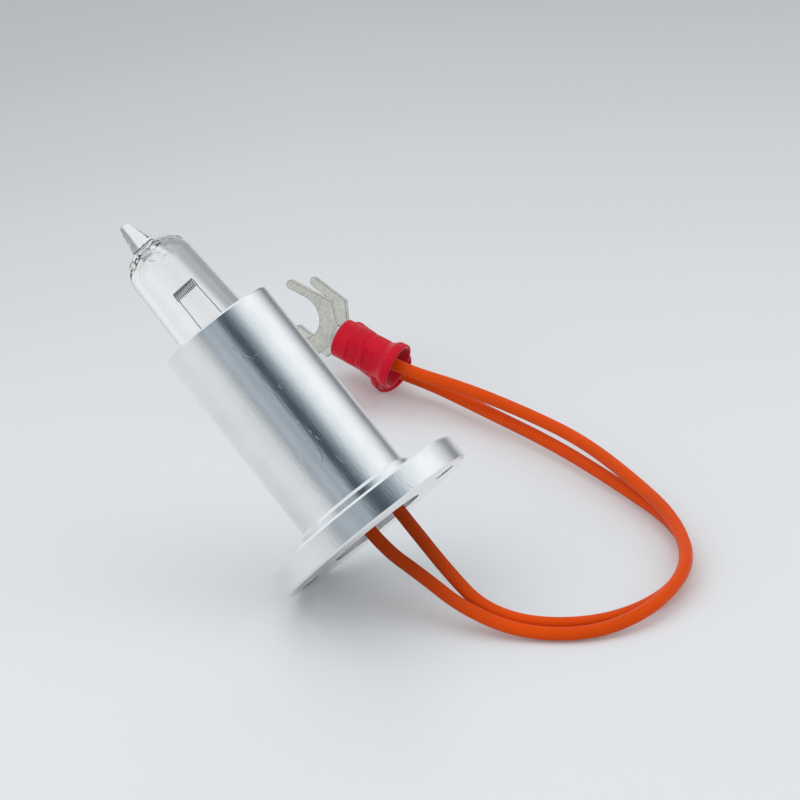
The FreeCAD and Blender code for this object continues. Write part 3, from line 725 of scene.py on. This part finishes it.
def capsule_cavity(sizes):
    """Inside of the glass: the wall's cone less the wall, with a low dome and a rounded root."""
    angle = np.linspace(0.0, 2 * math.pi, SEGMENTS, endpoint=False)[None, :]
    wall_thick = sizes.glass_wall / MM
    root = sizes.capsule_root / MM / 2 - wall_thick
    neck = sizes.capsule_neck / MM / 2 - wall_thick
    low = np.linspace(-1.5, 0.0, 20)
    wall = np.linspace(ROOT_HEIGHT + 0.3, WALL_TOP - RING_GAP, 40)
    high = np.linspace(0.02, 1.53, 34)
    root_height = ROOT_HEIGHT + CAVITY_DROP * np.sin(low)
    dome_height = WALL_TOP + CAVITY_RISE * np.sin(high)
    height = np.concatenate([root_height, wall, dome_height])
    radius = np.concatenate([root * np.cos(low), wall_cone(root, neck, wall), neck * np.cos(high)])[:, None]
    z = height[:, None] + 0.0 * angle
    out = radius + ripples(CAVITY_RIPPLES, angle, z) * radius / (radius + 0.8)
    return np.stack([out * np.cos(angle), out * np.sin(angle), z], axis=-1)


# Coil and inner leads in the capsule's own axes, in millimetres and degrees

COIL_CENTRE = (0.22, 0.0, 37.82)
COIL_RISE = 1.5
STEPS_PER_TURN = 28
WIRE_SIDES = 8
# foot and head of each inner lead
INNER_LEADS = {"a": ((-1.46, 0.0, 28.7), (-1.20, 0.0, 37.32)), "b": ((2.06, 0.0, 28.7), (1.74, 0.0, 37.40))}
INNER_LEAD_RADIUS = 0.065


def coil_rings(sizes):
    """Filament wire: a round section of eight sides carried along a helix of even pitch.

    The line is (R cos t, R sin t, p t / 2 pi - p / 4 sin t): each turn leans by a quarter pitch, so
    that its near and far halves lie one behind the other. The section's two axes are the outward
    radius and the cross product of the line's tangent with it.
    """
    turns = sizes.coil_turns
    radius = sizes.coil_mean / MM / 2
    wire = sizes.coil_wire / MM / 2
    length = sizes.coil_length / MM
    t = np.linspace(0.0, 2 * math.pi * turns, turns * STEPS_PER_TURN + 1)
    rise = length / (2 * math.pi * turns)
    lean = 2 * math.pi * rise / 4
    height = rise * t - lean * np.sin(t) - length / 2
    line = np.stack([radius * np.cos(t), radius * np.sin(t), height], axis=-1)
    outward = np.stack([np.cos(t), np.sin(t), 0 * t], axis=-1)
    along = np.stack([-radius * np.sin(t), radius * np.cos(t), rise - lean * np.cos(t)], axis=-1)
    along /= np.linalg.norm(along, axis=1)[:, None]
    across = np.cross(along, outward)
    across /= np.linalg.norm(across, axis=1)[:, None]
    around = np.linspace(0.0, 2 * math.pi, WIRE_SIDES, endpoint=False)[None, :, None]
    section = np.cos(around) * outward[:, None, :] + np.sin(around) * across[:, None, :]
    return line[:, None, :] + wire * section


def rod_rings(foot, head, radius):
    """Straight rod: circles about the line from foot to head, the last ones drawn in to a round end."""
    foot, head = np.array(foot), np.array(head)
    length = np.linalg.norm(head - foot)
    angle = np.linspace(0.0, 2 * math.pi, 24, endpoint=False)
    shank = np.linspace(0.0, length - radius, 12)
    bend = np.array([0.5, 1.0, 1.4])
    along = np.concatenate([shank, shank[-1] + radius * np.sin(bend)])
    wide = np.concatenate([np.full(len(shank), radius), radius * np.cos(bend)])
    share = (along / length)[:, None, None]
    circle = np.stack([np.cos(angle), np.sin(angle), 0 * angle], axis=-1)[None, :, :]
    return foot + (head - foot) * share + wide[:, None, None] * circle


# Sleeve: lip and nose in millimetres, and the crimp bands as shares of its length

LIP_THICK = 0.42
NOSE_ROUND = 0.35
CRIMP_BANDS = [(0.27, 0.49), (0.55, 0.77)]
CRIMP_EDGE = 0.02


def sleeve_rings(sizes):
    """Insulating sleeve as one closed loop of profile carried round its axis.

    The loop runs from the mouth along the outside to the front, in to the fork's barrel and back
    down the inside. In two crimp bands the thickness is pressed flat by a smooth limit and the
    width swells a little.
    """
    length = sizes.sleeve_length / MM
    mouth = sizes.sleeve_mouth / MM / 2
    waist = sizes.sleeve_waist / MM / 2
    body = sizes.sleeve_body / MM / 2
    bore = sizes.sleeve_bore / MM / 2
    flat = sizes.crimp_flat / MM / 2
    u = np.linspace(0.12, length - NOSE_ROUND, 150)
    outside = mouth + (waist - mouth) * smooth_step(u, 0.9, length * 0.25)
    outside += (body - waist) * smooth_step(u, length * 0.5, length * 0.56)
    turn_in = np.linspace(0.0, math.pi / 2, 9)[1:]
    nose_z = length - NOSE_ROUND + NOSE_ROUND * np.sin(turn_in)
    nose_r = body - NOSE_ROUND + NOSE_ROUND * np.cos(turn_in)
    face_r = np.linspace(nose_r[-1], bore, 6)[1:]
    inner_z = np.linspace(length, INSULATION_STOP, 26)[1:]
    flare_z = np.linspace(INSULATION_STOP, 0.25, 40)[1:]
    flare_r = bore + (mouth - LIP_THICK - bore) * smooth_step(-flare_z, -INSULATION_STOP, -1.2)
    lip = np.linspace(-math.pi / 2, math.pi / 2, 12)[1:-1]
    lip_z = 0.2 - 0.2 * np.cos(lip)
    lip_r = mouth - LIP_THICK / 2 + LIP_THICK / 2 * np.sin(lip)
    z = np.concatenate([u, nose_z, np.full(len(face_r), length), inner_z, flare_z, lip_z])
    r = np.concatenate([outside, nose_r, face_r, np.full(len(inner_z), bore), flare_r, lip_r])
    outer = np.arange(len(z)) < len(u) + len(nose_z)
    angle = np.linspace(0.0, 2 * math.pi, SEGMENTS, endpoint=False)
    x = r[:, None] * np.cos(angle)[None, :]
    y = r[:, None] * np.sin(angle)[None, :]
    band = sum(smooth_step(z, length * start, length * (start + CRIMP_EDGE))
               * (1 - smooth_step(z, length * (end - CRIMP_EDGE), length * end)) for start, end in CRIMP_BANDS)
    band = (band * outer)[:, None]
    pressed = np.abs(y) / (1.0 + (np.abs(y) / flat) ** 14) ** (1.0 / 14.0)
    y = np.sign(y) * (np.abs(y) * (1 - band) + pressed * band)
    x = x * (1 + 0.02 * band)
    return np.stack([x, y, z[:, None] + 0 * x], axis=-1)


# Operators: the stage first, then each piece

# soft lamps round the bench: name, place in metres, width in metres and power in watts
STUDIO_LAMPS = [
    ("top_light", (-0.22, 0.02, 0.9), 1.1, 2.2),
    ("right_light", (0.75, -0.10, 0.50), 0.9, 1.6),
    ("left_light", (-0.60, -0.45, 0.50), 0.9, 1.8),
]
BENCH_HALF = 2.5


class LAMP_OT_stage(bpy.types.Operator):
    """Camera at the photograph's angle, pale bench, soft lamps and world"""

    bl_idname = "lamp.stage"
    bl_label = "Stage and Camera"

    def execute(self, context):
        scene = context.scene
        stage = scene.lamp_stage
        scene.view_settings.view_transform = "Standard"
        camera_data = bpy.data.cameras.new("camera")
        camera_data.lens = stage.lens
        camera_data.sensor_width = 36.0
        camera_data.clip_end = 20.0
        camera = bpy.data.objects.new("camera", camera_data)
        camera.location = (stage.camera_x, stage.camera_y, stage.camera_z)
        camera.rotation_euler = Euler((math.pi / 2 - stage.elevation, 0.0, 0.0))
        scene.collection.objects.link(camera)
        scene.camera = camera
        bench_mesh = bpy.data.meshes.new("bench")
        corners = [(x * BENCH_HALF, y * BENCH_HALF, 0) for x, y in ((-1, -1), (1, -1), (1, 1), (-1, 1))]
        bench_mesh.from_pydata(corners, [], [(0, 1, 2, 3)])
        bench = bpy.data.objects.new("bench", bench_mesh)
        scene.collection.objects.link(bench)
        bench.data.materials.append(Finishes.get("pale_bench"))
        for name, where, width, power in STUDIO_LAMPS:
            self.add_lamp(scene, name, where, width, power)
        self.add_world(scene)
        return {"FINISHED"}

    def add_lamp(self, scene, name, where, width, power):
        light = bpy.data.lights.new(name, "AREA")
        light.shape = "SQUARE"
        light.size = width
        light.energy = power
        light.color = STUDIO_LIGHT
        lamp = bpy.data.objects.new(name, light)
        lamp.location = where
        lamp.rotation_euler = (-Vector(where)).to_track_quat("-Z", "Y").to_euler()
        lamp.visible_glossy = False
        scene.collection.objects.link(lamp)

    def add_world(self, scene):
        """Plain pale world; glossy surfaces see soft panels set round the lamp's own axis."""
        world = bpy.data.worlds.new("studio")
        world.use_nodes = True
        scene.world = world
        nodes = world.node_tree.nodes
        links = world.node_tree.links
        background = nodes["Background"]
        background.inputs["Strength"].default_value = 1.0
        coordinates = node(nodes, "ShaderNodeTexCoord")
        parts = {}
        for name, way in (("side", PANEL_SIDE), ("front", PANEL_FRONT), ("axis", LAMP_AXIS)):
            dot = node(nodes, "ShaderNodeVectorMath", operation="DOT_PRODUCT")
            dot.inputs[1].default_value = way
            links.new(coordinates.outputs["Generated"], dot.inputs[0])
            parts[name] = dot.outputs["Value"]
        angle = math_node(nodes, links, "ARCTAN2", parts["side"], parts["front"])
        turns = math_node(nodes, links, "MULTIPLY", angle, 1 / (2 * math.pi))
        turns = math_node(nodes, links, "ADD", turns, 0.5)
        stops = [(degrees / 360.0 + 0.5, colour) for degrees, colour in STUDIO_PANELS]
        around = colour_ramp(nodes, links, turns, stops).outputs["Color"]
        for low, high, colour in STUDIO_ENDS:
            share = map_range(nodes, links, parts["axis"], low, high, smooth=True)
            around = mix_colour(nodes, links, share, around, colour)
        rays = node(nodes, "ShaderNodeLightPath").outputs
        seen = mix_colour(nodes, links, rays["Is Glossy Ray"], STUDIO_FILL, around)
        seen = mix_colour(nodes, links, rays["Is Transmission Ray"], seen, STUDIO_BEYOND)
        seen = mix_colour(nodes, links, rays["Is Camera Ray"], seen, STUDIO_BACKDROP)
        links.new(seen, background.inputs["Color"])


# plain tones of the room: what lights the matte surfaces, what the camera sees, what shows through the quartz
STUDIO_FILL = (0.645, 0.604, 0.586)
STUDIO_BACKDROP = (0.62, 0.65, 0.67)
STUDIO_BEYOND = (0.31, 0.33, 0.34)
STUDIO_LIGHT = (0.93, 1.0, 1.065)
# plain room beyond the panels' ends: share along the lamp's axis where it starts and is full, colour
STUDIO_ENDS = [
    (0.35, 0.60, (0.95, 0.98, 1.0)),
    (-0.30, -0.55, (0.60, 0.62, 0.64)),
]
# directions square to the lamp's axis, to the side and to the camera's side
PANEL_SIDE = (0.7810, 0.2640, 0.5660)
PANEL_FRONT = (-0.0468, -0.8790, 0.4745)
# soft panels round the lamp's axis: angle from the camera's side in degrees, colour
STUDIO_PANELS = [
    (-180.0, (0.40, 0.42, 0.43)),
    (-76.0, (0.575, 0.585, 0.58)),
    (-60.0, (0.53, 0.55, 0.55)),
    (-43.0, (0.63, 0.64, 0.64)),
    (-30.0, (0.38, 0.42, 0.46)),
    (-21.0, (0.48, 0.53, 0.57)),
    (-6.0, (0.34, 0.40, 0.44)),
    (0.0, (0.44, 0.51, 0.55)),
    (14.0, (0.049, 0.075, 0.095)),
    (24.0, (0.063, 0.096, 0.119)),
    (38.0, (0.28, 0.34, 0.38)),
    (55.0, (0.79, 0.85, 0.86)),
    (78.0, (1.07, 1.07, 1.09)),
    (98.0, (1.08, 1.06, 1.08)),
    (116.0, (0.74, 0.75, 0.78)),
    (132.0, (0.34, 0.35, 0.37)),
    (148.0, (0.19, 0.19, 0.20)),
    (180.0, (0.22, 0.23, 0.24)),
]


class LAMP_OT_leads(bpy.types.Operator):
    """Two orange insulated leads, each one smooth spline from the potting to its terminal"""

    bl_idname = "lamp.leads"
    bl_label = "Leads"

    def execute(self, context):
        sizes = context.scene.lamp_sizes
        for letter, route in LEAD_ROUTES.items():
            terminal = TERMINALS[letter]
            across = LEAD_ACROSS[letter] * MM
            points = [LAMP @ Vector((across, 0, LEAD_SEAT * MM)),
                      LAMP @ Vector((across, 0, RUN_BELOW_FLANGE * MM))]
            points += [bench_point(*corner) for corner in route]
            points += [terminal @ Vector((0, 0, LAST_RUN[letter] * MM)),
                       terminal @ Vector((0, 0, INSULATION_STOP * MM))]
            curve = bpy.data.curves.new("lead_wire_" + letter, "CURVE")
            curve.dimensions = "3D"
            spline = curve.splines.new("NURBS")
            spline.points.add(len(points) - 1)
            for corner, point in zip(spline.points, points):
                corner.co = (*point, 1.0)
            spline.order_u = 3
            spline.use_endpoint_u = True
            spline.resolution_u = 12
            curve.bevel_depth = sizes.lead_diameter / 2
            curve.bevel_resolution = 6
            curve.use_fill_caps = True
            wire = bpy.data.objects.new("lead_wire_" + letter, curve)
            context.scene.collection.objects.link(wire)
            wire.data.materials.append(Finishes.get("lead_insulation"))
            wire.visible_glossy = False
            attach(wire, "root")
            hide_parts("lead_" + letter)
        return {"FINISHED"}


class LAMP_OT_housing(bpy.types.Operator):
    """Turned aluminium housing with its rear potting and front cement"""

    bl_idname = "lamp.housing"
    bl_label = "Housing"

    def execute(self, context):
        dress("housing", "turned_aluminium")
        dress("rear_potting", "set_compound")
        dress("cement_plug", "set_compound")
        return {"FINISHED"}


class LAMP_OT_capsule(bpy.types.Operator):
    """Clear quartz capsule with its pinch seal, melted dome and exhaust tip"""

    bl_idname = "lamp.capsule"
    bl_label = "Quartz Capsule"

    def execute(self, context):
        sizes = context.scene.lamp_sizes
        outside = capsule_outside(sizes)
        inside = capsule_cavity(sizes)
        parts = []
        for rings, inward in ((outside, False), (inside, True)):
            points, faces = closed_skin(rings, inward)
            parts.append((place(points, CAPSULE), faces))
        capsule = make_piece("quartz_capsule", parts, Finishes.get("clear_quartz"))
        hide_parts("bulb_envelope")
        return {"FINISHED"}


class LAMP_OT_filament(bpy.types.Operator):
    """Wound tungsten coil on its two inner leads"""

    bl_idname = "lamp.filament"
    bl_label = "Filament"

    def execute(self, context):
        sizes = context.scene.lamp_sizes
        coil_place = CAPSULE @ Matrix.Translation(Vector(COIL_CENTRE) * MM) @ turn_y(90.0 - COIL_RISE)
        points, faces = closed_skin(coil_rings(sizes))
        coil = make_piece("filament_coil", [(place(points, coil_place), faces)],
                          Finishes.get("drawn_tungsten"))
        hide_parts("filament")
        for letter, (foot, head) in INNER_LEADS.items():
            points, faces = closed_skin(rod_rings(foot, head, INNER_LEAD_RADIUS))
            rod = make_piece("inner_lead_" + letter, [(place(points, CAPSULE), faces)],
                             Finishes.get("plain_tungsten"))
            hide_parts("filament_lead_" + letter)
        return {"FINISHED"}


class LAMP_OT_terminals(bpy.types.Operator):
    """Red crimped sleeves on the tinned fork terminals"""

    bl_idname = "lamp.terminals"
    bl_label = "Terminals"

    def execute(self, context):
        sizes = context.scene.lamp_sizes
        rings = sleeve_rings(sizes)
        faces = ring_faces(rings.shape[0], rings.shape[1], close_rows=True).tolist()
        for letter, terminal in TERMINALS.items():
            sleeve = make_piece("sleeve_shell_" + letter, [(place(rings.reshape(-1, 3), terminal), faces)],
                                Finishes.get("sleeve_plastic"))
            sleeve.visible_glossy = False
            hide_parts("terminal_sleeve_" + letter)
            dress("fork_terminal_" + letter, "tin_plate")
            dress("conductor_end_" + letter, "bare_copper")
        return {"FINISHED"}


class LAMP_PT_panel(bpy.types.Panel):
    bl_idname = "LAMP_PT_panel"
    bl_label = "Analyzer Halogen Lamp"
    bl_space_type = "VIEW_3D"
    bl_region_type = "UI"
    bl_category = "Lamp"

    def draw(self, context):
        layout = self.layout
        for operator in OPERATORS:
            layout.operator(operator.bl_idname)
        for group in (context.scene.lamp_sizes, context.scene.lamp_colours, context.scene.lamp_stage):
            column = layout.column()
            for name in group.bl_rna.properties.keys():
                if name not in ("rna_type", "name"):
                    column.prop(group, name)


OPERATORS = [LAMP_OT_stage, LAMP_OT_terminals, LAMP_OT_leads,
             LAMP_OT_housing, LAMP_OT_capsule, LAMP_OT_filament]
CLASSES = [LampSizes, LampColours, LampStage, *OPERATORS, LAMP_PT_panel]


def register():
    for item in CLASSES:
        bpy.utils.register_class(item)
    bpy.types.Scene.lamp_sizes = PointerProperty(type=LampSizes)
    bpy.types.Scene.lamp_colours = PointerProperty(type=LampColours)
    bpy.types.Scene.lamp_stage = PointerProperty(type=LampStage)


def unregister():
    del bpy.types.Scene.lamp_stage
    del bpy.types.Scene.lamp_colours
    del bpy.types.Scene.lamp_sizes
    for item in reversed(CLASSES):
        bpy.utils.unregister_class(item)


def main():
    register()
    bpy.ops.lamp.stage()
    bpy.ops.lamp.terminals()
    bpy.ops.lamp.leads()
    bpy.ops.lamp.housing()
    bpy.ops.lamp.capsule()
    bpy.ops.lamp.filament()


if __name__ == "__main__":
    main()
